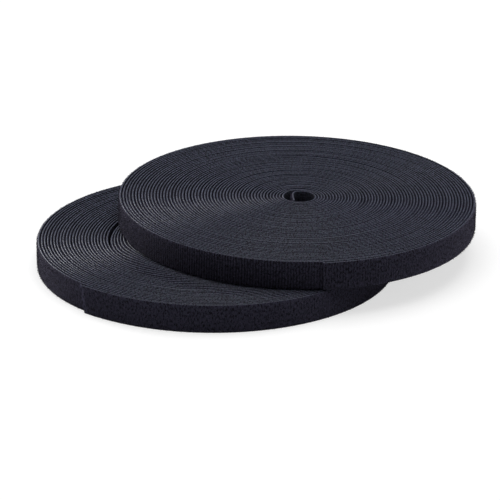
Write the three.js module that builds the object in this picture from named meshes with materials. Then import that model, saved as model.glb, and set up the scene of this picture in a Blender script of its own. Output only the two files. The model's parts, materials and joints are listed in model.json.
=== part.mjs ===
// Two rolls of black back-to-back hook and loop tape, one lying on the other as they rest on a table.
// Each roll is one coreless strip, wound loop side out on a split mandrel, whose slot leaves the strip's
// inner end lying across the bore. The strip is a loop ribbon laminated to a hook ribbon.
// Frame: +Z up, the table at z = 0, the origin under the middle of the stack. Lengths are millimetres.

import * as THREE from 'three';

const FULL_TURN = 2 * Math.PI;

// The tape
const tapeWidth = 19;
const loopThickness = 0.73;
const hookThickness = 0.73;
const layerGap = 0.3;

// The roll
const rollRadius = 121;
const boreRadius = 9.1;
const raisedRadius = 50;
const freeEndLength = 60;

// The bore's place off the middle of the rim, with the direction from there to the free end as zero
const boreShift = 2.4;
const boreShiftAngle = THREE.MathUtils.degToRad(82.5);

// The inner end: the bend that takes it off the wall, and its tip's distance from the wall opposite
const tailBendRadius = 5.9;
const tailBendAngle = THREE.MathUtils.degToRad(93);
const tailBowAngle = THREE.MathUtils.degToRad(5);
const tailClearance = 0.7;

// The stack: the upper roll lies to the right of and behind the lower one, whose inner turns have slipped up.
const stackShiftX = 54.2;
const stackShiftY = 23.2;
const seatGap = 0.3;
const innerTurnsRise = 1.2;
const upperFreeEndAngle = THREE.MathUtils.degToRad(-82.5);
const lowerFreeEndAngle = THREE.MathUtils.degToRad(224);

// Counts
const stepsPerTurn = 24;
const outerTurns = 8;
const innerTurns = 3;
const tailBendSteps = 6;
const tailCrossingSteps = 4;

// Places along the strip are counted in turns from its free end.
const tapeThickness = loopThickness + layerGap + hookThickness;
const turnPitch = tapeThickness + layerGap;
const woundTurns = (rollRadius - boreRadius - tapeThickness) / turnPitch;
const raisedFromTurn = (rollRadius - raisedRadius) / turnPitch;
const innerFromTurn = woundTurns - innerTurns;
const freeEndTurns = freeEndLength / (FULL_TURN * rollRadius);

// Each ribbon's two faces, as depths below the outer face of the strip
const loopFaces = { outer: 0, inner: loopThickness };
const hookFaces = { outer: tapeThickness - hookThickness, inner: tapeThickness };

const direction = (angle) => new THREE.Vector2(Math.cos(angle), Math.sin(angle));
const radiusAt = (turn) => rollRadius - turnPitch * turn;
const centreAt = (turn) => direction(boreShiftAngle).multiplyScalar(boreShift * (turn / woundTurns));
const spiralPoint = (turn) => centreAt(turn).addScaledVector(direction(FULL_TURN * turn), radiusAt(turn));

// Where a run of the strip starts, with a gap to the run that ends at this turn
const after = (turn) => turn + layerGap / (FULL_TURN * radiusAt(turn));

// The two ends of a run and every whole step between them
function turnsAlong(fromTurn, toTurn) {
  const first = Math.floor(fromTurn * stepsPerTurn) + 1;
  const last = Math.ceil(toTurn * stepsPerTurn) - 1;
  const between = Array.from({ length: last - first + 1 }, (_, i) => (first + i) / stepsPerTurn);
  return [fromTurn, ...between, toTurn];
}

// A station is a point on the strip's outer face, with the direction in which that face looks.
function woundStations(fromTurn, toTurn) {
  return turnsAlong(fromTurn, toTurn).map((turn) => ({
    point: spiralPoint(turn),
    normal: direction(FULL_TURN * turn),
  }));
}

// The inner end bends off the wall of the bore and crosses it, bowed a little to its loop side.
function tailStations() {
  const startAngle = FULL_TURN * woundTurns;
  const bendRadius = direction(startAngle).multiplyScalar(tailBendRadius);
  const bendCentre = spiralPoint(woundTurns).sub(bendRadius);
  const bend = Array.from({ length: tailBendSteps }, (_, i) => {
    const normal = direction(startAngle + tailBendAngle * ((i + 1) / tailBendSteps));
    return { point: bendCentre.clone().addScaledVector(normal, tailBendRadius), normal };
  });

  const { point: start, normal: startNormal } = bend[tailBendSteps - 1];
  const heading = startNormal.clone().rotateAround(new THREE.Vector2(), Math.PI / 2);
  const chord = heading.clone().rotateAround(new THREE.Vector2(), tailBowAngle);
  const reach = boreRadius + turnPitch / 2 - tailClearance;
  const fromMiddle = start.clone().sub(centreAt(woundTurns));
  const along = fromMiddle.dot(chord);
  const chordLength = Math.sqrt(along ** 2 - fromMiddle.lengthSq() + reach ** 2) - along;
  const bow = new THREE.QuadraticBezierCurve(
    start,
    start.clone().addScaledVector(heading, chordLength / (2 * Math.cos(tailBowAngle))),
    start.clone().addScaledVector(chord, chordLength),
  );
  const crossing = Array.from({ length: tailCrossingSteps }, (_, i) => {
    const share = (i + 1) / tailCrossingSteps;
    const normal = bow.getTangent(share).rotateAround(new THREE.Vector2(), -Math.PI / 2);
    return { point: bow.getPoint(share), normal };
  });
  return [...bend, ...crossing];
}

function upright(outline, hole) {
  const shape = new THREE.Shape(outline);
  if (hole) shape.holes.push(new THREE.Path(hole));
  return new THREE.ExtrudeGeometry(shape, { depth: tapeWidth, bevelEnabled: false });
}

const below = (stations, depth) =>
  stations.map(({ point, normal }) => point.clone().addScaledVector(normal, -depth));

// One unbroken ribbon along its stations, from the outside of the roll inwards
function ribbon(stations, faces) {
  return upright([...below(stations, faces.outer), ...below(stations, faces.inner).reverse()]);
}

// The least distance between the facing sides of a ribbon's turns
function leastGap(stations, faces) {
  const innerSide = below(stations, faces.inner);
  const outerSide = below(stations, faces.outer);
  const distances = innerSide.flatMap((point, i) =>
    outerSide.slice(i + stepsPerTurn / 2).map((other) => point.distanceTo(other)),
  );
  return Math.min(...distances);
}

// Turns that lie too tight to tell apart, as one ring. Its wall and its hole both follow the spiral for one
// turn, so each has a step as high as the strip is thick.
function packedRing(fromTurn, toTurn) {
  const wall = turnsAlong(fromTurn, fromTurn + 1).map(spiralPoint);
  const hole = turnsAlong(toTurn, toTurn + 1).map((turn) => {
    return spiralPoint(turn).addScaledVector(direction(FULL_TURN * turn), layerGap);
  });
  return upright(wall, hole);
}

const loopPile = { color: 0x1f1d23, roughness: 0.95, metalness: 0 };
const hookWeave = { color: 0x2b2c33, roughness: 0.7, metalness: 0 };
const packedEdges = { color: 0x34353e, roughness: 0.85, metalness: 0 };

function piece(name, geometry, look) {
  const mesh = new THREE.Mesh(geometry, new THREE.MeshStandardMaterial(look));
  mesh.name = name;
  return mesh;
}

// One roll about its own axis, its free end in the +X direction and its lower edge at z = 0
function roll(name, rise) {
  const freeEnd = woundStations(0, freeEndTurns);
  const outer = woundStations(after(freeEndTurns), outerTurns);
  const inner = [...woundStations(after(innerFromTurn), woundTurns), ...tailStations()];
  const leastGaps = [leastGap(outer, loopFaces), leastGap(inner, hookFaces)];
  console.log(`${name}: ${woundTurns.toFixed(2)} turns, least gaps of a ribbon to itself, in mm:`, leastGaps);

  const risen = new THREE.Group();
  risen.position.z = rise;
  risen.add(
    piece(`${name}_packed_inner_turns`, packedRing(after(raisedFromTurn), innerFromTurn), packedEdges),
    piece(`${name}_inner_loop_ribbon`, ribbon(inner, loopFaces), loopPile),
    piece(`${name}_inner_hook_ribbon`, ribbon(inner, hookFaces), hookWeave),
  );

  const group = new THREE.Group();
  group.add(
    piece(`${name}_free_end_loop_ribbon`, ribbon(freeEnd, loopFaces), loopPile),
    piece(`${name}_free_end_hook_ribbon`, ribbon(freeEnd, hookFaces), hookWeave),
    piece(`${name}_outer_loop_ribbon`, ribbon(outer, loopFaces), loopPile),
    piece(`${name}_outer_hook_ribbon`, ribbon(outer, hookFaces), hookWeave),
    piece(`${name}_packed_middle_turns`, packedRing(after(outerTurns), raisedFromTurn), packedEdges),
    risen,
  );
  return group;
}

const lowerRoll = roll('lower_roll', innerTurnsRise);
lowerRoll.rotation.z = lowerFreeEndAngle;

const upperRoll = roll('upper_roll', 0);
upperRoll.rotation.z = upperFreeEndAngle;

// The upper roll leans to the right, from the lower roll's raised turns down to its right-hand rim.
const lean = Math.atan(innerTurnsRise / (rollRadius - raisedRadius));
const leaning = new THREE.Group();
leaning.add(upperRoll);
leaning.rotation.y = lean;
leaning.position.set(
  stackShiftX,
  stackShiftY,
  tapeWidth + seatGap + (rollRadius - stackShiftX) * Math.tan(lean),
);

const stack = new THREE.Group();
stack.add(lowerRoll, leaning);
const middle = new THREE.Box3().setFromObject(stack, true).getCenter(new THREE.Vector3());
stack.position.set(-middle.x, -middle.y, 0);

const part = new THREE.Group();
part.add(stack);

export default part;
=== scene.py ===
import json
import math

import bpy
import numpy as np
from mathutils import Matrix, Vector


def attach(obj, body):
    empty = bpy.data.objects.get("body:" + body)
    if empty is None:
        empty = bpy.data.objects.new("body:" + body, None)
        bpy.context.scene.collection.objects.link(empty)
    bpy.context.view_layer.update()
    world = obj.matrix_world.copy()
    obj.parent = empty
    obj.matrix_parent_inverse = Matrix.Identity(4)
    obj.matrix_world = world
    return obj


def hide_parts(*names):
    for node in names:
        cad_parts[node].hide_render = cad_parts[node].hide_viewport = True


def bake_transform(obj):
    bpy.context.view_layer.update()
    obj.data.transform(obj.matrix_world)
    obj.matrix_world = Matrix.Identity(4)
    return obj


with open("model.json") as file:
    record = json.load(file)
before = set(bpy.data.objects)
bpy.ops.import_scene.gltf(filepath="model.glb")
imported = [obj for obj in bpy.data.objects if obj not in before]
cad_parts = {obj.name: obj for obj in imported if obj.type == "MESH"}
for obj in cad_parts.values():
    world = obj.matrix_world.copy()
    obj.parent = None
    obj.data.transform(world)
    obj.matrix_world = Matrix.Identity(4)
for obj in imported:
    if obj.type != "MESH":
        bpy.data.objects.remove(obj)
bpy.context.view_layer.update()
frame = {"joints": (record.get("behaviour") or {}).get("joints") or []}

MM = 0.001
FULL_TURN = 2 * math.pi

# The tape and the rolls, as in the frame
TAPE_WIDTH = 19 * MM
TAPE_THICKNESS = 1.76 * MM
TURN_PITCH = 2.06 * MM
ROLL_RADIUS = 121 * MM
BORE_RADIUS = 9.1 * MM
BORE_SHIFT = 2.4 * MM
BORE_SHIFT_ANGLE = math.radians(82.5)
RAISED_RADIUS = 50 * MM
INNER_TURNS_RISE = 1.2 * MM
UPPER_LEAN = INNER_TURNS_RISE / (ROLL_RADIUS - RAISED_RADIUS)
FREE_END_LENGTH = 60 * MM
FREE_END_GAP = 0.3 * MM
TAIL_BEND_RADIUS = 5.9 * MM
TAIL_BEND_ANGLE = math.radians(93)
TAIL_BOW_ANGLE = math.radians(5)
TAIL_CLEARANCE = 0.7 * MM

# Places along the strip are counted in turns from its free end
WOUND_TURNS = (ROLL_RADIUS - BORE_RADIUS - TAPE_THICKNESS) / TURN_PITCH
RAISED_FROM_TURN = (ROLL_RADIUS - RAISED_RADIUS) / TURN_PITCH
FREE_END_TURNS = FREE_END_LENGTH / (FULL_TURN * ROLL_RADIUS)
OUTER_TURNS = 8
INNER_TURNS = 3
INNER_FROM_TURN = WOUND_TURNS - INNER_TURNS

# Depths below the strip's outer face
PILE_TOP = 0.0 * MM
PRESSED_PILE_TOP = 0.16 * MM
LOOP_BASE_TOP = 0.4 * MM
LAMINATION = 0.84 * MM
HOOK_BASE_END = 1.28 * MM
HOOK_TIPS = 1.8 * MM

# The ribbons' edges: the plain selvedge beside the pile or the hooks, the slope from there up to
# their tops, and how round the corners are. On the outermost turn the pile is brushed out over the
# selvedge.
PILE_SELVEDGE = 0.5 * MM
COVERED_SELVEDGE = 0.12 * MM
HOOK_SELVEDGE = 1.3 * MM
SHOULDER = 0.3 * MM
LOOP_EDGE_ROUND = 0.1 * MM
HOOK_EDGE_ROUND = 0.08 * MM
SEAM_ROUND = 0.05 * MM
CORNER_ANGLES = [math.radians(angle) for angle in (0, 45, 90)]

# How unevenly the turns lie. The outermost half turn keeps its radius.
WIDTH_WANDER = 0.16 * MM
RADIUS_WANDER = 0.07 * MM
RADIUS_WANDER_FROM_TURN = 0.5
WANDER_WAVES = 7
WANDER_WAVES_PER_TURN = (0.3, 3.2)

# The lower roll's raised turns: over how many turns the inner ones climb, and how those near and
# under the upper roll have slipped up to a small gap below it
RAMP_TURNS = 5
HEAVE_GAP = 0.5 * MM
HEAVE_RAMP = 12 * MM

# The free end: how fast the lift of its tip dies away
TIP_LIFT_POWER = 4

# Steps along the strip
STEPS_PER_TURN = 116
CUT_END_STEP = 2 * MM
TAIL_BEND_STEPS = 16
TAIL_CROSSING_STEPS = 10

# The nap's filaments, with the least and the greatest length and height in shares of the usual one
FIBRES_PER_SQUARE_MM = 2.8
FIBRE_LENGTH = 0.75 * MM
FIBRE_WIDTH = 0.1 * MM
FIBRE_HEIGHT = 0.68 * MM
FIBRE_LENGTH_RANGE = (0.5, 1.2)
FIBRE_HEIGHT_RANGE = (0.35, 1.3)
TAIL_NAP_FULLNESS = 1.6

# A filament is a narrow strip that rises from its root to its crown and falls to its tip. These
# are the shares of its length, height and width at the three.
FIBRE_LENGTH_SHARES = (0, 0.45, 1)
FIBRE_HEIGHT_SHARES = (-0.2, 1, 0.5)
FIBRE_WIDTH_SHARES = (1, 1, 0.4)

# The pile's ribs, and how far the filaments scatter about them, in shares of their spacing, where
# the pile is brushed out and where the ribs stand
RIB_SPACING = 1.9 * MM
RIB_SPREAD_SHARES = (0.4, 0.16)

# The hooks, where they show. A hook is a thread bent over, in shares of its height along the strip
# and up.
HOOK_SPACING = 1.25 * MM
HOOK_ROW_SPACING = 1.15 * MM
HOOK_THREAD = 0.1 * MM
HOOK_SIDES = 3
HOOK_SHARES = [(0, 0), (0, 0.55), (0.15, 0.88), (0.42, 1), (0.7, 0.86), (0.78, 0.6)]

# Sizes in the materials: the spacing of threads, the size of blots, and how deep the bump is
WEFT_SPACING = 0.6 * MM
WARP_SPACING = 0.32 * MM
FLECK_SIZE = 1.25 * MM
RUBBED_SIZE = 9 * MM
TURN_TONE_SIZE = 260 * MM
WEAVE_CAST_SIZE = 2 * MM
WEAVE_RELIEF = 0.04 * MM
TUFT_SIZE = 0.5 * MM
CLUMP_SIZE = 1.1 * MM
PATCH_SIZE = 14 * MM
PILE_CAST_SIZE = 2.5 * MM
PILE_RELIEF = 0.4 * MM
BRISTLE_SIZE = 0.5 * MM
HOOK_GROUND_RELIEF = 0.25 * MM

# Casts of the dyed nylon
SLATE = (1, 1.02, 1.6)
TEAL = (0.88, 1.13, 1.55)
PLUM = (1.06, 0.97, 1.6)

# Faces that meet at more than this have a sharp edge between them
SHARP_ANGLE = math.radians(50)

# The camera, at the photograph's angle and distance
CAMERA_ELEVATION = math.radians(21.65)
CAMERA_DISTANCE = 2.6238
CAMERA_LENS = 280.9
CAMERA_AIM = Vector((-4.2, -4.3, 7.1)) * MM

# The table top and the studio, with what the camera sees apart from what lights the rolls
FLOOR_HALF_WIDTH = 6.0
FLOOR_LEVEL = 0.72
SEEN_FLOOR_LEVEL = 0.44
FLOOR_GLOW = 0.65
WORLD_LEVEL = 0.15
SEEN_WORLD_LEVEL = 1


def unit(angle):
    return np.array([np.cos(angle), np.sin(angle)])


def smooth_step(share):
    share = np.clip(share, 0, 1)
    return share * share * (3 - 2 * share)


def grid(firsts, seconds):
    """Every pair of a first and a second, as two flat arrays."""
    return [values.ravel() for values in np.meshgrid(firsts, seconds, indexing="ij")]


def wander(turn, seed):
    """A smooth random curve, mostly between -1 and 1, that is unlike in neighbouring turns."""
    random = np.random.default_rng(seed)
    per_turn = random.uniform(*WANDER_WAVES_PER_TURN, WANDER_WAVES)
    phases = random.uniform(0, FULL_TURN, WANDER_WAVES)
    waves = sum(np.sin(FULL_TURN * f * turn + p) for f, p in zip(per_turn, phases))
    return waves / math.sqrt(WANDER_WAVES)


def spiral(turn, outwards=0.0):
    """The strip's outer face at these turns, as its place and the way that it looks."""
    angle = FULL_TURN * turn
    radius = ROLL_RADIUS - TURN_PITCH * turn + outwards
    shift = BORE_SHIFT * turn / WOUND_TURNS
    nx, ny = unit(angle)
    x = shift * math.cos(BORE_SHIFT_ANGLE) + radius * nx
    y = shift * math.sin(BORE_SHIFT_ANGLE) + radius * ny
    return x, y, nx, ny


def tail_crossing(start, heading_angle):
    """The inner end's way across the bore to the wall opposite, bowed a little to its loop side, as
    its places and the ways that its outer face looks."""
    heading = unit(heading_angle)
    chord = unit(heading_angle + TAIL_BOW_ANGLE)
    from_middle = start - BORE_SHIFT * unit(BORE_SHIFT_ANGLE)
    reach = BORE_RADIUS + TURN_PITCH / 2 - TAIL_CLEARANCE
    along = from_middle @ chord
    chord_length = math.sqrt(along**2 - from_middle @ from_middle + reach**2) - along
    control = start + heading * chord_length / (2 * math.cos(TAIL_BOW_ANGLE))
    tip = start + chord * chord_length

    share = np.arange(1, TAIL_CROSSING_STEPS + 1) / TAIL_CROSSING_STEPS
    places = np.outer(start, (1 - share) ** 2)
    places += np.outer(control, 2 * share * (1 - share)) + np.outer(tip, share**2)
    slope = np.outer(control - start, 1 - share) + np.outer(tip - control, share)
    slope /= np.linalg.norm(slope, axis=0)
    return places, [slope[1], -slope[0]]


class Gap:
    """Slack between two turns, opening inwards. The turns inside it close up."""

    def __init__(self, radius, angle, spread, opening, over_turns, roll_angle):
        self.angle = math.radians(angle) - roll_angle
        self.spread = math.radians(spread)
        self.opening = opening
        self.over_turns = over_turns
        opposite = (self.angle / FULL_TURN + 0.5) % 1
        self.from_turn = round((ROLL_RADIUS - radius) / TURN_PITCH - opposite) + opposite

    def inset(self, turn):
        away = (FULL_TURN * turn - self.angle + math.pi) % FULL_TURN - math.pi
        width = np.cos(np.clip(away / self.spread, -1, 1) * math.pi / 2) ** 2
        left = np.clip(1 - (turn - self.from_turn) / self.over_turns, 0, 1)
        return np.where(turn > self.from_turn, self.opening * width * left, 0)


# The rows of an array of stations are x, y, nx, ny, rise, widening and length. This is the number
# of the last.
LENGTH = 6


class Roll:
    """One roll about its own axis, put in its place by its free end's hinge. angle is that of the
    free end, rise the height of its inner turns, slant how far its end is cut back at the lower
    edge, pressed how wide the pile is flattened along the cut and lift how far its tip stands off.
    The pile's ribs come and go in waves of the length brushing, and are brushed out at brushed_out.
    Where they stand, painted shade darkens the pile between them.
    heaved are the radii within which the turns have slipped up to the roll on top, for angles seen
    from above."""

    def __init__(
        self,
        name,
        seed,
        angle,
        rise,
        slant,
        pressed,
        lift,
        brushing,
        brushed_out,
        gaps,
        heaved=(),
    ):
        self.name = name
        self.free_end = name.replace("roll", "free_end")
        self.seed = seed
        self.angle = math.radians(angle)
        self.rise = rise
        self.slant = slant
        self.pressed = pressed
        self.lift = lift
        self.brushing = brushing
        self.brushed_out = brushed_out
        self.gaps = [Gap(*gap, self.angle) for gap in gaps]
        self.heaved = heaved

        hinge = next(joint for joint in frame["joints"] if joint["child"] == self.free_end)
        up = Vector(hinge["axis"]).normalized()
        back = Vector((0, 1, 0))
        leaning = Matrix((back.cross(up), back, up)).transposed()
        turned = leaning @ Matrix.Rotation(self.angle, 3, "Z")
        x, y, nx, ny = spiral(FREE_END_TURNS + FREE_END_GAP / (2 * FULL_TURN * ROLL_RADIUS))
        root = Vector((x, y, TAPE_WIDTH / 2))
        self.root = Vector(hinge["pos_m"])
        self.to_tip = turned @ Vector((ny, -nx, 0))
        self.matrix = Matrix.Translation(self.root - turned @ root) @ turned.to_4x4()

    def stations(self, turn):
        """The strip at these turns: the place of its outer face and the way that looks, how far it
        is raised and widened, and its length so far."""
        inset = sum(gap.inset(turn) for gap in self.gaps)
        settled = smooth_step(turn - RADIUS_WANDER_FROM_TURN)
        inset = inset + RADIUS_WANDER * wander(turn, self.seed) * settled
        off = self.lift * np.clip(1 - turn / FREE_END_TURNS, 0, 1) ** TIP_LIFT_POWER
        x, y, nx, ny = spiral(turn, off - inset)
        rise = self.rise * smooth_step((turn - RAISED_FROM_TURN) / RAMP_TURNS + 1)
        if self.heaved:
            rise = np.maximum(rise, self.heave(turn, x, y))
        widening = WIDTH_WANDER * wander(turn, self.seed + 1)
        length = FULL_TURN * turn * (ROLL_RADIUS - TURN_PITCH * turn / 2)
        return np.stack([x, y, nx, ny, rise, widening, length])

    def heave(self, turn, x, y):
        """How far the turns have slipped up where the roll on top leaves room for it."""
        angle = FULL_TURN * turn + self.angle
        angles, radii = zip(*self.heaved)
        reach = np.interp(np.degrees(angle), angles, radii, period=360)
        to_right = x * math.cos(self.angle) - y * math.sin(self.angle)
        room = np.clip((ROLL_RADIUS - to_right) * UPPER_LEAN - HEAVE_GAP, 0, None)
        return room * smooth_step((reach - np.hypot(x, y)) / HEAVE_RAMP)

    def ribbed(self, lengths):
        """From 0 where the pile is brushed out to 1 where its ribs stand."""
        return 0.5 - 0.5 * np.cos(FULL_TURN * (lengths - self.brushed_out) / self.brushing)

    def wound(self, from_turn, to_turn):
        """A run of the spiral, as stations."""
        steps = max(2, round((to_turn - from_turn) * STEPS_PER_TURN))
        return self.stations(np.linspace(from_turn, to_turn, steps + 1)[:, None])

    def cut_end(self, section, from_length, to_length):
        """The free end, whose cut edge slants, as stations for each height of a section."""
        count = 2 + round((to_length - from_length) / CUT_END_STEP)
        lengths = np.linspace(from_length, to_length, count)[:, None]
        outline, _ = section
        cut_back = self.cut_back(outline[:, 1]) * (1 - lengths / FREE_END_LENGTH)
        return self.stations((lengths + cut_back) / (FULL_TURN * ROLL_RADIUS))

    def cut_back(self, heights):
        return self.slant * (1 - heights / TAPE_WIDTH)

    def nap_start(self, heights):
        """The length at which the nap begins at these heights, past the pressed pile."""
        return self.cut_back(heights) + self.pressed

    def tail(self):
        """The inner end past the last turn, which bends off the wall of the bore and crosses it."""
        last = self.stations(np.array(WOUND_TURNS))
        start, out = last[:2], last[2:4]
        from_angle = math.atan2(out[1], out[0])
        swing = from_angle + TAIL_BEND_ANGLE * np.arange(1, TAIL_BEND_STEPS + 1) / TAIL_BEND_STEPS
        bend = (start - out * TAIL_BEND_RADIUS)[:, None] + unit(swing) * TAIL_BEND_RADIUS
        crossing, crossing_looks = tail_crossing(bend[:, -1], swing[-1] + math.pi / 2)

        places = np.hstack([bend, crossing])
        looks = np.hstack([unit(swing), crossing_looks])
        steps = np.linalg.norm(np.diff(places, axis=1, prepend=start[:, None]), axis=0)
        rise_and_widening = np.repeat(last[4:6, None], len(steps), axis=1)
        lengths = last[LENGTH] + np.cumsum(steps)
        return np.vstack([places, looks, rise_and_widening, lengths])[:, :, None]

    def inner(self):
        """The inner turns and the inner end."""
        return np.concatenate([self.wound(INNER_FROM_TURN, WOUND_TURNS), self.tail()], axis=1)


def between(stations, places):
    """The strip at these lengths along it, read between its stations."""
    lengths = stations[LENGTH, :, -1]
    return np.array([np.interp(places, lengths, values[:, -1]) for values in stations])


def points_on(stations, depths, heights):
    """Points of the strip in its roll's own frame."""
    x, y, nx, ny, rise, widening, _ = stations
    z = heights * (1 + widening / TAPE_WIDTH) + rise
    return np.stack(np.broadcast_arrays(x - nx * depths, y - ny * depths, z), axis=-1)


# The number of each material on a loop piece or a hook piece. A packed piece has the hook
# piece's after the loop piece's.
# The faces' material is the woven base painted darker than the edges' one, as painted shade in the
# gaps between turns and in the bore.
EDGE, SHADED_WEAVE, FIELD, THREADS, PRESSED, PACKED = range(6)


def ribbon_section(back, front, rounding, field=None, selvedge=0.0, filling=FIELD):
    """A ribbon's cross-section, as depths and heights with a material for each edge. It goes round
    the woven base, from its laminated face at back to its face at front, and over the filling up to
    the depth field, which leaves a selvedge bare."""
    way = math.copysign(1, front - back)
    low = [(back, SEAM_ROUND), (back + way * SEAM_ROUND, 0)]
    for angle in CORNER_ANGLES:
        depth = front - way * rounding * (1 - math.sin(angle))
        low.append((depth, rounding * (1 - math.cos(angle))))
    if field is not None:
        low += [
            (front, selvedge),
            ((front + 2 * field) / 3, selvedge + SHOULDER / 4),
            (field, selvedge + SHOULDER),
        ]
    outline = low + [(depth, TAPE_WIDTH - height) for depth, height in reversed(low)]
    edge_kinds = [EDGE, EDGE, EDGE, SHADED_WEAVE]
    front_kinds = [SHADED_WEAVE] if field is None else [SHADED_WEAVE, *[filling] * 5, SHADED_WEAVE]
    kinds = edge_kinds + front_kinds + edge_kinds[::-1] + [SHADED_WEAVE]
    return np.array(outline), np.array(kinds)


def loop_section(pile_top, selvedge, filling=FIELD):
    return ribbon_section(LAMINATION, LOOP_BASE_TOP, LOOP_EDGE_ROUND, pile_top, selvedge, filling)


LOOP_SECTION = loop_section(PILE_TOP, PILE_SELVEDGE)
OUTERMOST_SECTION = loop_section(PILE_TOP, COVERED_SELVEDGE)
PRESSED_SECTION = loop_section(PRESSED_PILE_TOP, COVERED_SELVEDGE, PRESSED)
PACKED_SECTION = loop_section(PILE_TOP, PILE_SELVEDGE, PACKED)
HOOK_SECTION = ribbon_section(
    LAMINATION, HOOK_BASE_END, HOOK_EDGE_ROUND, HOOK_TIPS, HOOK_SELVEDGE
)
BARE_HOOK_SECTION = ribbon_section(LAMINATION, HOOK_BASE_END, HOOK_EDGE_ROUND)


def swept(stations, section, first_material=0):
    """One ribbon along its stations, closed at both ends, as blocks of points, faces, map and
    materials. The map gives the length along the strip and the way round the section."""
    outline, kinds = section
    depths, heights = outline.T
    points = points_on(stations, depths, heights)
    rows, columns = points.shape[:2]
    lengths = np.broadcast_to(stations[LENGTH], (rows, columns))
    edges = np.diff(outline, axis=0, append=outline[:1])
    around = np.append(0, np.cumsum(np.linalg.norm(edges, axis=1)))

    row, column = grid(np.arange(rows - 1), np.arange(columns))
    beside = (column + 1) % columns
    corners = [(row, column), (row, beside), (row + 1, beside), (row + 1, column)]
    faces = np.stack([r * columns + c for r, c in corners], axis=1)
    u = np.stack([lengths[r, c] for r, c in corners], axis=1)
    v = np.stack([around[column], around[column + 1], around[column + 1], around[column]], axis=1)
    uv = np.stack([u, v], axis=-1)

    looks_outwards = depths[0] > depths[1]
    if looks_outwards:
        faces, uv = faces[:, ::-1], uv[:, ::-1]
    blocks = [(points.reshape(-1, 3), faces, uv, first_material + kinds[column])]

    cap = np.arange(columns)[None]
    for end, turned in ((0, not looks_outwards), (rows - 1, looks_outwards)):
        order = np.arange(columns)[::-1] if turned else np.arange(columns)
        blocks.append((points[end, order], cap, outline[order][None], [first_material + SHADED_WEAVE]))
    return blocks


def hook_tube():
    """One hook as a thin tube, whose points lie this far along the strip, off it and aside."""
    path = np.array(HOOK_SHARES) * (HOOK_TIPS - HOOK_BASE_END)
    slope = np.gradient(path, axis=0)
    slope /= np.linalg.norm(slope, axis=1)[:, None]
    spokes = unit(FULL_TURN * np.arange(HOOK_SIDES) / HOOK_SIDES) * HOOK_THREAD / 2
    along = path[:, 0, None] - slope[:, 1, None] * spokes[0]
    off = path[:, 1, None] + slope[:, 0, None] * spokes[0]
    aside = np.broadcast_to(spokes[1], along.shape)
    return along.ravel(), off.ravel(), aside.ravel()


def hooks(stations):
    """The hooks on the inner face of a run, in rows, bent over along the strip, one row one way and
    the next the other. Their map gives a random tone and the way along the hook."""
    lengths = stations[LENGTH, :, -1]
    places = np.arange(lengths[0] + HOOK_SPACING, lengths[-1] - HOOK_SPACING / 2, HOOK_SPACING)
    lowest = HOOK_SELVEDGE + SHOULDER
    highest = TAPE_WIDTH - HOOK_SELVEDGE - SHOULDER / 2
    heights = np.arange(lowest, highest, HOOK_ROW_SPACING)
    place, row = grid(places, np.arange(len(heights)))
    place = place + (row % 2) * HOOK_SPACING / 2
    ways = np.where(row % 2, 1, -1)[:, None]

    along, off, aside = hook_tube()
    x, y, nx, ny, rise, widening, _ = between(stations, place)[:, :, None]
    depth = HOOK_BASE_END + off
    shift = ways * along
    z = heights[row][:, None] + ways * aside + rise
    points = np.stack([x - nx * depth - ny * shift, y - ny * depth + nx * shift, z], axis=-1)

    count = len(place)
    rings = len(HOOK_SHARES)
    ring, side = grid(np.arange(rings - 1), np.arange(HOOK_SIDES))
    beside = (side + 1) % HOOK_SIDES
    corners = [(ring, side), (ring + 1, side), (ring + 1, beside), (ring, beside)]
    one_hook = np.stack([r * HOOK_SIDES + s for r, s in corners], axis=1)
    first_points = np.arange(count) * rings * HOOK_SIDES
    faces = (one_hook[None] + first_points[:, None, None]).reshape(-1, 4)
    tone = np.repeat(np.random.default_rng(count).random(count), len(one_hook))
    share = np.tile(ring, count) / rings
    uv = np.stack([tone[:, None] + np.zeros(4), share[:, None] + np.zeros(4)], axis=-1)
    return [(points.reshape(-1, 3), faces, uv, np.full(len(faces), THREADS))]


def nap_roots(roll, start, end, random):
    """Where filaments of the pile stand between two lengths, gathered on its ribs, as their places
    along the strip and their heights."""
    bottom = COVERED_SELVEDGE
    top = TAPE_WIDTH - COVERED_SELVEDGE
    count = round(FIBRES_PER_SQUARE_MM * (end - start) * (top - bottom) / MM**2)
    ribs = random.uniform(start, end, count) // RIB_SPACING + 0.5
    spread = np.interp(roll.ribbed(ribs * RIB_SPACING), (0, 1), RIB_SPREAD_SHARES)
    places = np.clip((ribs + spread * random.normal(size=count)) * RIB_SPACING, start, end)
    return places, random.uniform(bottom, top, count)


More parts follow.
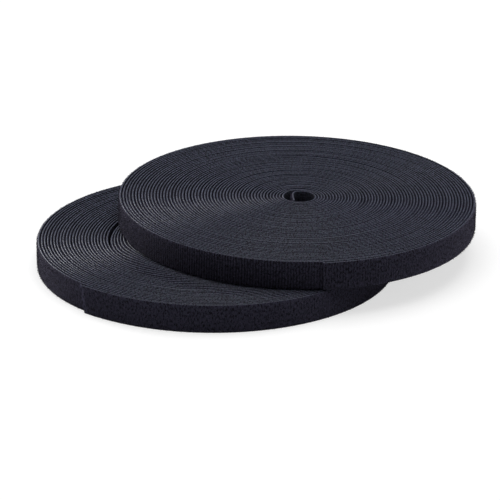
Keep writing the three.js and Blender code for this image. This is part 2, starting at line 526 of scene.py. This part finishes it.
def nap(roll, stations, seed, fullness=1.0, first_kept=None):
    """Single filaments of the pile, standing off a run as low arches in every direction.
    first_kept gives the length from which they are kept at each height. Their map gives a random
    tone and the way along the filament."""
    random = np.random.default_rng(seed)
    start, end = stations[LENGTH, (0, -1), -1]
    place, height = nap_roots(roll, start, end, random)
    if first_kept:
        kept = place > first_kept(height)
        place, height = place[kept], height[kept]
    place, height = place[:, None], height[:, None]
    count = len(place)

    lie = random.uniform(0, FULL_TURN, (count, 1))
    reach = FIBRE_LENGTH * random.uniform(*FIBRE_LENGTH_RANGE, (count, 1))
    reach = reach * np.repeat(FIBRE_LENGTH_SHARES, 2)
    stand = np.repeat(FIBRE_HEIGHT_SHARES, 2) * FIBRE_HEIGHT * fullness
    stand = stand * random.uniform(*FIBRE_HEIGHT_RANGE, (count, 1))
    aside = FIBRE_WIDTH / 2 * np.outer(FIBRE_WIDTH_SHARES, (-1, 1)).ravel()
    along = reach * np.cos(lie) - aside * np.sin(lie)
    across = reach * np.sin(lie) + aside * np.cos(lie)
    height = np.clip(height + across, 0, TAPE_WIDTH)
    points = points_on(between(stations, place + along), PILE_TOP - stand, height)

    first_points = np.arange(count) * points.shape[1]
    faces = np.array([[0, 1, 3, 2], [2, 3, 5, 4]])[None] + first_points[:, None, None]
    tone = random.random(count)[:, None, None] + np.zeros((2, 4))
    share = np.broadcast_to(np.array([[0, 0, 0.5, 0.5], [0.5, 0.5, 1, 1]]), tone.shape)
    uv = np.stack([tone, share], axis=-1).reshape(-1, 4, 2)
    return [(points.reshape(-1, 3), faces.reshape(-1, 4), uv, np.full(2 * count, THREADS))]


def make_mesh(name, blocks, matrix):
    """One mesh from blocks of points, faces, map and materials."""
    starts = np.cumsum([0] + [len(points) for points, *_ in blocks])
    points = np.concatenate([points for points, *_ in blocks])
    points = points @ np.array(matrix.to_3x3()).T + np.array(matrix.translation)
    numbered = [(faces + start).ravel() for (_, faces, *_), start in zip(blocks, starts)]
    corners = np.concatenate(numbered)
    sizes = np.concatenate([np.full(len(faces), faces.shape[1]) for _, faces, *_ in blocks])
    uv = np.concatenate([np.asarray(uv).reshape(-1, 2) for _, _, uv, _ in blocks])
    kinds = np.concatenate([kinds for *_, kinds in blocks])

    mesh = bpy.data.meshes.new(name)
    mesh.vertices.add(len(points))
    mesh.vertices.foreach_set("co", points.astype(np.float32).ravel())
    mesh.loops.add(len(corners))
    mesh.loops.foreach_set("vertex_index", corners.astype(np.int32))
    mesh.polygons.add(len(sizes))
    mesh.polygons.foreach_set("loop_start", (np.cumsum(sizes) - sizes).astype(np.int32))
    mesh.polygons.foreach_set("material_index", kinds.astype(np.int32))
    mesh.uv_layers.new(name="Tape").data.foreach_set("uv", uv.astype(np.float32).ravel())
    mesh.update(calc_edges=True)
    mesh.shade_smooth()
    mesh.set_sharp_from_angle(angle=SHARP_ANGLE)
    return mesh


def make_piece(name, blocks, materials, matrix):
    mesh = make_mesh(name, blocks, matrix)
    for material in materials:
        mesh.materials.append(material)
    piece = bpy.data.objects.new(name, mesh)
    bpy.context.scene.collection.objects.link(piece)
    return piece


def put(tree, socket, value):
    """A value on a socket, or a link to it from another one."""
    if isinstance(value, bpy.types.NodeSocket):
        tree.links.new(value, socket)
    else:
        socket.default_value = value


def add_node(tree, kind, inputs=(), **settings):
    node = tree.nodes.new(kind)
    for key, value in settings.items():
        setattr(node, key, value)
    for key, value in dict(inputs).items():
        put(tree, node.inputs[key], value)
    return node


class Graph:
    """Short ways to add shader nodes to a material."""

    def __init__(self, name):
        self.material = bpy.data.materials.new(name)
        self.material.use_nodes = True
        self.tree = self.material.node_tree
        self.shader = self.tree.nodes["Principled BSDF"]
        self.uv = self.add("ShaderNodeUVMap", uv_map="Tape").outputs["UV"]

    def add(self, kind, inputs=(), **settings):
        return add_node(self.tree, kind, inputs, **settings)

    def maths(self, operation, first, second=0.0, third=0.0):
        node = self.add("ShaderNodeMath", {0: first, 1: second, 2: third}, operation=operation)
        return node.outputs[0]

    def part(self, axis):
        """The map along the tape, axis 0, or round its section, axis 1."""
        return self.add("ShaderNodeSeparateXYZ", {0: self.uv}).outputs[axis]

    def noise(self, size, detail, stretch=(1, 1, 1)):
        """Noise along the tape, from 0 to 1, whose blots are about this size."""
        scaled = self.add("ShaderNodeVectorMath", {0: self.uv, 1: stretch}, operation="MULTIPLY")
        inputs = {"Vector": scaled.outputs[0], "Scale": 1 / size, "Detail": detail}
        return self.add("ShaderNodeTexNoise", inputs).outputs["Fac"]

    def ripple(self, axis, period, shift=0.0):
        """A wave from 0 to 1 along the tape, axis 0, or round its section, axis 1."""
        phase = self.maths("MULTIPLY_ADD", self.part(axis), FULL_TURN / period, shift)
        return self.maths("MULTIPLY_ADD", self.maths("SINE", phase), 0.5, 0.5)

    def mix(self, factor, low, high):
        inputs = {0: factor, 6: low, 7: high}
        return self.add("ShaderNodeMix", inputs, data_type="RGBA").outputs[2]

    def spread(self, value, low, high):
        """value from 0 to 1, as a range from low to high."""
        return self.maths("MULTIPLY_ADD", value, high - low, low)

    def bump(self, height, depth):
        node = self.add("ShaderNodeBump", {"Height": height, "Distance": depth})
        put(self.tree, self.shader.inputs["Normal"], node.outputs[0])

    def set(self, **values):
        for key, value in values.items():
            put(self.tree, self.shader.inputs[key.replace("_", " ")], value)
        return self.material


def shade(level, cast=SLATE):
    return (level * cast[0], level * cast[1], level * cast[2], 1)


def woven(name, low, high, roughness, gloss, lean=0.0):
    """A woven nylon base: weft threads cross the tape and turn round its edge, warp threads run
    along it, and painted shade darkens the colour between the threads. lean is how far the upper
    edge's threads lean over to the pile, as a slope."""
    g = Graph(name)
    weft = g.ripple(0, WEFT_SPACING)
    warp = g.ripple(1, WARP_SPACING)
    weave_and_shade = g.maths("MULTIPLY", g.maths("POWER", weft, 0.7), g.spread(warp, 0.45, 1))
    rubbed = g.spread(g.noise(RUBBED_SIZE, 3), 0.4, 1.6)
    # The tone also rises and falls slowly along the strip, so that one turn is lighter or darker
    # than the next.
    turn_tone = g.spread(g.noise(TURN_TONE_SIZE, 2), 0.5, 1.5)
    rubbed_and_turn_tone = g.maths("MULTIPLY", rubbed, turn_tone)
    fleck = g.noise(FLECK_SIZE, 2)
    # Painted shade: the colour falls to under a third between the threads.
    tone = g.maths("MULTIPLY", g.spread(weave_and_shade, 0.3, 1), rubbed_and_turn_tone)
    tone = g.maths("MULTIPLY", tone, g.spread(fleck, -3, 5.2))
    cast = g.spread(g.noise(WEAVE_CAST_SIZE, 1), -1, 2)
    height = g.maths("MULTIPLY_ADD", fleck, 0.4, weave_and_shade)
    if lean:
        height = g.maths("MULTIPLY_ADD", g.part(1), lean / WEAVE_RELIEF, height)
    g.bump(height, WEAVE_RELIEF)
    bright = g.mix(cast, shade(high, TEAL), shade(high, PLUM))
    g.set(Base_Color=g.mix(tone, shade(low), bright))
    return g.set(Roughness=roughness, Specular_IOR_Level=gloss)


def pile(name, roll, level, sheen):
    """Napped loops: matt tufts in ribs across the tape, with flattened and fuller patches, and
    painted shade in the valleys between the ribs.
    """
    g = Graph(f"{roll.name}_{name}")
    tufts = g.noise(TUFT_SIZE, 2)
    clumps = g.noise(CLUMP_SIZE, 3, (1, 0.5, 1))
    patches = g.noise(PATCH_SIZE, 2)
    brushed_out = -FULL_TURN * (roll.brushed_out / roll.brushing + 0.25)
    ribbed = g.ripple(0, roll.brushing, brushed_out)
    valleys_and_shade = g.maths("MULTIPLY", g.ripple(0, RIB_SPACING, FULL_TURN / 4), ribbed)
    height = g.maths("MULTIPLY_ADD", valleys_and_shade, -0.7, tufts)
    height = g.maths("MULTIPLY_ADD", clumps, 0.9, height)
    tone = g.maths("MULTIPLY", g.spread(clumps, -2.4, 4.4), g.spread(patches, 0.6, 1.4))
    # Painted shade: the colour darkens in the valleys between the ribs, down to a fifth in the
    # deepest.
    tone = g.maths("MULTIPLY", tone, g.spread(valleys_and_shade, 0.8, 0.2))
    cast = g.spread(g.noise(PILE_CAST_SIZE, 1), -1, 2)
    g.bump(height, PILE_RELIEF)
    bright = g.mix(cast, shade(level), shade(level, PLUM))
    g.set(Base_Color=g.mix(tone, shade(0.1 * level, PLUM), bright))
    g.set(Sheen_Weight=sheen, Sheen_Roughness=0.4, Sheen_Tint=(0.8, 0.72, 1, 1))
    return g.set(Roughness=0.95, Specular_IOR_Level=0.08)


def pile_filaments():
    g = Graph("pile_filaments")
    tone = g.maths("POWER", g.part(0), 2.0)
    g.set(Base_Color=g.mix(tone, shade(0.003, PLUM), shade(0.1, PLUM)))
    return g.set(Roughness=0.7, Specular_IOR_Level=0.2)


def hook_ground():
    """The zone of hooks between two turns, as it shows at their edges."""
    g = Graph("hook_ground")
    bristle = g.noise(BRISTLE_SIZE, 2)
    rows = g.ripple(0, HOOK_SPACING)
    tone = g.maths("MULTIPLY", bristle, g.spread(rows, 0.5, 1))
    g.bump(g.maths("MULTIPLY_ADD", rows, 0.3, bristle), HOOK_GROUND_RELIEF)
    g.set(Base_Color=g.mix(tone, shade(0.002), shade(0.03)))
    return g.set(Roughness=0.8, Specular_IOR_Level=0.1)


def hook_threads():
    g = Graph("hook_threads")
    g.set(Base_Color=g.mix(g.part(0), shade(0.003), shade(0.016)))
    return g.set(Roughness=0.45, Specular_IOR_Level=0.2)


# The edge and face materials are a lit and a painted-shade copy of one woven base: the faces, which
# lie in the gaps between turns and in the bore, are painted several times darker for the shade
# there.
LOOP_EDGE = woven("loop_base_edge", low=0.01, high=0.114, roughness=0.34, gloss=0.36, lean=0.82)
LOOP_WEAVE_SHADED = woven("loop_base_weave_shaded", low=0.005, high=0.025, roughness=0.85, gloss=0.1)
FILAMENTS = pile_filaments()
HOOK_MATERIALS = [
    woven("hook_base_edge", low=0.01, high=0.094, roughness=0.5, gloss=0.15),
    woven("hook_base_weave_shaded", low=0.005, high=0.032, roughness=0.8, gloss=0.15),
    hook_ground(),
    hook_threads(),
]


def loop_materials(roll):
    return [
        LOOP_EDGE,
        LOOP_WEAVE_SHADED,
        pile("loop_pile", roll, level=0.038, sheen=0.2),
        FILAMENTS,
        pile("pressed_pile", roll, level=0.06, sheen=0.15),
        pile("packed_pile", roll, level=0.05, sheen=0),
    ]


def free_end_loop(roll):
    """The loop ribbon of the free end, whose pile may be pressed flat along the cut."""
    napped = roll.cut_end(OUTERMOST_SECTION, roll.pressed, FREE_END_LENGTH)
    blocks = swept(napped, OUTERMOST_SECTION)
    if roll.pressed:
        blocks += swept(roll.cut_end(PRESSED_SECTION, 0, roll.pressed), PRESSED_SECTION)
    free_end = roll.wound(0, FREE_END_TURNS)
    return blocks + nap(roll, free_end, roll.seed + 2, first_kept=roll.nap_start)


def free_end_hook(roll):
    free_end = roll.cut_end(BARE_HOOK_SECTION, 0, FREE_END_LENGTH)
    return swept(free_end, BARE_HOOK_SECTION) + hooks(free_end)


def outer_loop(roll):
    """The loop ribbon of the outer turns, napped where it is the roll's outside."""
    outermost = roll.wound(FREE_END_TURNS, 1)
    blocks = swept(outermost, OUTERMOST_SECTION) + nap(roll, outermost, roll.seed + 3)
    return blocks + swept(roll.wound(1, OUTER_TURNS), PACKED_SECTION)


def outer_hook(roll):
    return swept(roll.wound(FREE_END_TURNS, OUTER_TURNS), HOOK_SECTION)


def inner_loop(roll):
    """The loop ribbon of the inner turns and the inner end, napped where it crosses the bore."""
    filaments = nap(roll, roll.tail(), roll.seed + 4, fullness=TAIL_NAP_FULLNESS)
    return swept(roll.inner(), LOOP_SECTION) + filaments


def inner_hook(roll):
    inner = roll.inner()
    return swept(inner, BARE_HOOK_SECTION) + hooks(inner)


def packed_turns(roll, from_turn, to_turn, first_hook_material):
    """Both ribbons of turns that lie too tight to tell apart in the frame."""
    stations = roll.wound(from_turn, to_turn)
    hook_ribbon = swept(stations, HOOK_SECTION, first_hook_material)
    return swept(stations, PACKED_SECTION) + hook_ribbon


def make_ribbon(roll, stretch, blocks, loop_kinds):
    """The piece of one ribbon's stretch, in place of its node."""
    materials = loop_kinds if stretch.endswith("loop") else HOOK_MATERIALS
    piece = make_piece(f"{roll.name}_{stretch}_tape", blocks, materials, roll.matrix)
    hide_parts(f"{roll.name}_{stretch}_ribbon")
    return piece


def make_roll(roll):
    loop_kinds = loop_materials(roll)
    free_ends = {"free_end_loop": free_end_loop, "free_end_hook": free_end_hook}
    for stretch, build in free_ends.items():
        piece = make_ribbon(roll, stretch, build(roll), loop_kinds)
        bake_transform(piece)

    wound = {
        "outer_loop": outer_loop,
        "outer_hook": outer_hook,
        "inner_loop": inner_loop,
        "inner_hook": inner_hook,
    }
    for stretch, build in wound.items():
        piece = make_ribbon(roll, stretch, build(roll), loop_kinds)
        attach(piece, roll.name)

    packed = {
        "packed_middle": (OUTER_TURNS, RAISED_FROM_TURN),
        "packed_inner": (RAISED_FROM_TURN, INNER_FROM_TURN),
    }
    both_kinds = loop_kinds + HOOK_MATERIALS
    for stretch, (from_turn, to_turn) in packed.items():
        blocks = packed_turns(roll, from_turn, to_turn, len(loop_kinds))
        piece = make_piece(f"{roll.name}_{stretch}_tape", blocks, both_kinds, roll.matrix)
        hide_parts(f"{roll.name}_{stretch}_turns")
        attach(piece, roll.name)


# Gaps are given by radius, angle seen from above, spread to each side, opening and the number of
# turns that close up. Angles are in degrees.
LOWER_ROLL = Roll(
    "lower_roll",
    seed=11,
    angle=224,
    rise=INNER_TURNS_RISE,
    slant=4.2 * MM,
    pressed=3 * MM,
    lift=1.1 * MM,
    brushing=760 * MM,
    brushed_out=97 * MM,
    gaps=[
        (72.5 * MM, 150, 58, 2.4 * MM, 20),
        (61 * MM, 205, 40, 0.9 * MM, 9),
    ],
    heaved=[(150, 72 * MM), (200, 72 * MM), (250, 88 * MM), (300, 122 * MM), (360, 110 * MM)],
)
UPPER_ROLL = Roll(
    "upper_roll",
    seed=23,
    angle=-82.5,
    rise=0,
    slant=0.6 * MM,
    pressed=0,
    lift=0.3 * MM,
    brushing=380 * MM,
    brushed_out=122 * MM,
    gaps=[
        (94.5 * MM, 270, 50, 0.5 * MM, 8),
        (70.5 * MM, 268, 60, 1.1 * MM, 10),
        (18 * MM, 256, 50, 0.5 * MM, 3),
        (15.5 * MM, 85, 60, 0.5 * MM, 2),
    ],
)


def make_camera():
    camera = bpy.data.objects.new("camera", bpy.data.cameras.new("camera"))
    camera.data.lens = CAMERA_LENS
    camera.data.clip_end = 4 * CAMERA_DISTANCE
    back = Vector((0, -math.cos(CAMERA_ELEVATION), math.sin(CAMERA_ELEVATION)))
    camera.location = CAMERA_AIM + back * CAMERA_DISTANCE
    camera.rotation_euler = (math.pi / 2 - CAMERA_ELEVATION, 0, 0)
    bpy.context.scene.collection.objects.link(camera)
    bpy.context.scene.camera = camera


def seen_level(tree, seen, level, seen_by_camera):
    """One level for light, and another for what the camera sees."""
    inputs = {"Value": seen, "To Min": level, "To Max": seen_by_camera}
    return add_node(tree, "ShaderNodeMapRange", inputs).outputs["Result"]


def floor_material():
    """Matt white. For the camera it is darker and glows, so that its shadows are pale and it ends
    in the photograph's white. From below it is clear."""
    material = bpy.data.materials.new("floor")
    material.use_nodes = True
    tree = material.node_tree
    tree.nodes.clear()
    seen = add_node(tree, "ShaderNodeLightPath").outputs["Is Camera Ray"]
    colour = seen_level(tree, seen, FLOOR_LEVEL, SEEN_FLOOR_LEVEL)
    matt = add_node(tree, "ShaderNodeBsdfDiffuse", {"Color": colour}).outputs[0]
    strength = add_node(tree, "ShaderNodeMath", {0: seen, 1: FLOOR_GLOW}, operation="MULTIPLY")
    glow = add_node(tree, "ShaderNodeEmission", {"Strength": strength.outputs[0]}).outputs[0]
    white = add_node(tree, "ShaderNodeAddShader", {0: matt, 1: glow}).outputs[0]
    clear = add_node(tree, "ShaderNodeBsdfTransparent").outputs[0]
    below = add_node(tree, "ShaderNodeNewGeometry").outputs["Backfacing"]
    sides = add_node(tree, "ShaderNodeMixShader", {0: below, 1: white, 2: clear}).outputs[0]
    add_node(tree, "ShaderNodeOutputMaterial", {"Surface": sides})
    return material


def make_floor():
    mesh = bpy.data.meshes.new("floor")
    half = FLOOR_HALF_WIDTH
    corners = [(-half, -half, 0), (half, -half, 0), (half, half, 0), (-half, half, 0)]
    mesh.from_pydata(corners, [], [(0, 1, 2, 3)])
    mesh.materials.append(floor_material())
    floor = bpy.data.objects.new("floor", mesh)
    bpy.context.scene.collection.objects.link(floor)


def make_world():
    world = bpy.data.worlds.new("studio")
    world.use_nodes = True
    tree = world.node_tree
    background = tree.nodes["Background"]
    background.inputs["Color"].default_value = (1, 1, 1, 1)
    seen = add_node(tree, "ShaderNodeLightPath").outputs["Is Camera Ray"]
    strength = seen_level(tree, seen, WORLD_LEVEL, SEEN_WORLD_LEVEL)
    put(tree, background.inputs["Strength"], strength)
    bpy.context.scene.world = world


def softbox(name, place, size, level):
    """A square lamp that looks at the rolls. level is what it adds to a white sheet there that
    faces it."""
    lamp = bpy.data.lights.new(name, "AREA")
    lamp.size = size
    place = Vector(place)
    lamp.energy = level * math.pi**2 * place.length_squared
    thing = bpy.data.objects.new(name, lamp)
    thing.location = place
    thing.rotation_euler = place.to_track_quat("Z", "Y").to_euler()
    bpy.context.scene.collection.objects.link(thing)


bpy.context.scene.view_settings.view_transform = "Standard"
make_camera()
make_world()
make_floor()
softbox("overhead", place=(0.0, 0.1, 1.8), size=1.8, level=0.9)
softbox("left", place=(-1.39, 1.21, 0.46), size=0.7, level=0.5)
softbox("right", place=(1.8, 0.48, 0.4), size=1.0, level=0.25)
make_roll(LOWER_ROLL)
make_roll(UPPER_ROLL)
